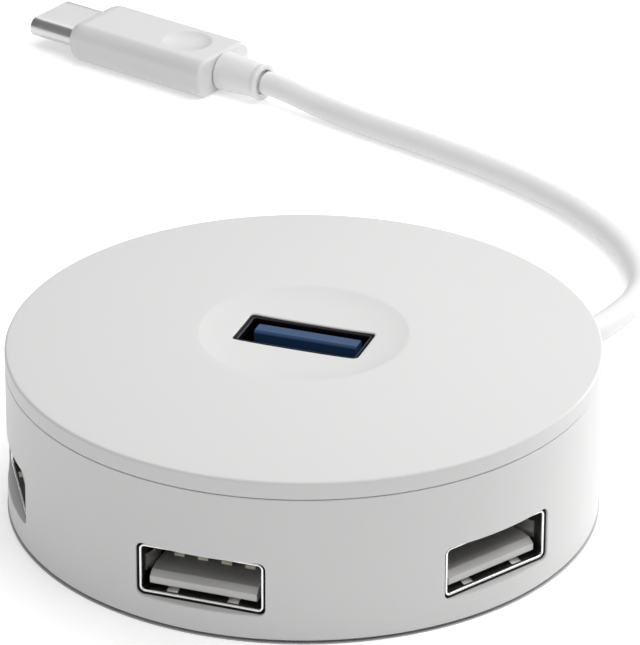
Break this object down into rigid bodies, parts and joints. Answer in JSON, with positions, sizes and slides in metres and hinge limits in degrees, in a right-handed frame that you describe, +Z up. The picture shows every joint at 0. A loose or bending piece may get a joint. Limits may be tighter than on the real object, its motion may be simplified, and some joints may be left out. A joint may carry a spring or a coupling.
{
  "type": "usb hub",
  "caption": "Round desktop USB hub with side sockets, a blue upright socket in a dished top, and a short captive cable ending in a USB-C plug.",
  "frame": {"origin": "centre of the base, on the surface the hub stands on", "axes": "+Z up along the round body's axis; the middle side socket faces -Y; the cable leaves at the back, towards +X +Y"},
  "size_m": [0.1024, 0.1369, 0.019],
  "materials": {
    "casing_plastic": "satin white moulded plastic",
    "pad_silicone": "matt grey silicone",
    "screw_steel": "bright steel",
    "board_green": "satin solder mask",
    "chip_black": "matt black",
    "ceramic": "fired ceramic",
    "socket_nickel": "bright nickel plate",
    "top_socket_metal": "dark plated steel",
    "tongue_white": "satin grey-white moulding",
    "tongue_blue": "satin blue moulding",
    "contact_gold": "gold flash",
    "cable_white": "satin white elastomer"
  },
  "bodies": {
    "root": {"anti_slip_pad": "pad_silicone", "base_plate": "casing_plastic", "bulk_capacitor": "screw_steel", "cable": "cable_white", "cable_clamp": "screw_steel", "cable_header": "tongue_white", "cable_strain_relief": "cable_white", "case_screw_1": "screw_steel", "case_screw_2": "screw_steel", "case_screw_3": "screw_steel", "case_screw_4": "screw_steel", "crystal": "screw_steel", "filter_capacitor_1": "ceramic", "filter_capacitor_2": "ceramic", "filter_capacitor_3": "ceramic", "front_socket_contact_1": "contact_gold", "front_socket_contact_2": "contact_gold", "front_socket_contact_3": "contact_gold", "front_socket_contact_4": "contact_gold", "front_socket_insulator": "tongue_white", "front_socket_shell": "socket_nickel", "hub_controller_chip": "chip_black", "inner_cable": "cable_white", "left_socket_contact_1": "contact_gold", "left_socket_contact_2": "contact_gold", "left_socket_contact_3": "contact_gold", "left_socket_contact_4": "contact_gold", "left_socket_insulator": "tongue_white", "left_socket_shell": "socket_nickel", "main_board": "board_green", "plug_insert": "chip_black", "plug_overmold": "cable_white", "plug_shell": "socket_nickel", "plug_sleeve": "cable_white", "power_regulator": "chip_black", "resettable_fuse": "ceramic", "right_socket_contact_1": "contact_gold", "right_socket_contact_2": "contact_gold", "right_socket_contact_3": "contact_gold", "right_socket_contact_4": "contact_gold", "right_socket_insulator": "tongue_white", "right_socket_shell": "socket_nickel", "side_housing": "casing_plastic", "top_cover": "casing_plastic", "top_socket_contact_1": "contact_gold", "top_socket_contact_2": "contact_gold", "top_socket_contact_3": "contact_gold", "top_socket_contact_4": "contact_gold", "top_socket_insulator": "tongue_blue", "top_socket_pad_1": "contact_gold", "top_socket_pad_2": "contact_gold", "top_socket_pad_3": "contact_gold", "top_socket_pad_4": "contact_gold", "top_socket_pad_5": "contact_gold", "top_socket_shell": "top_socket_metal"}
  },
  "joints": []
}
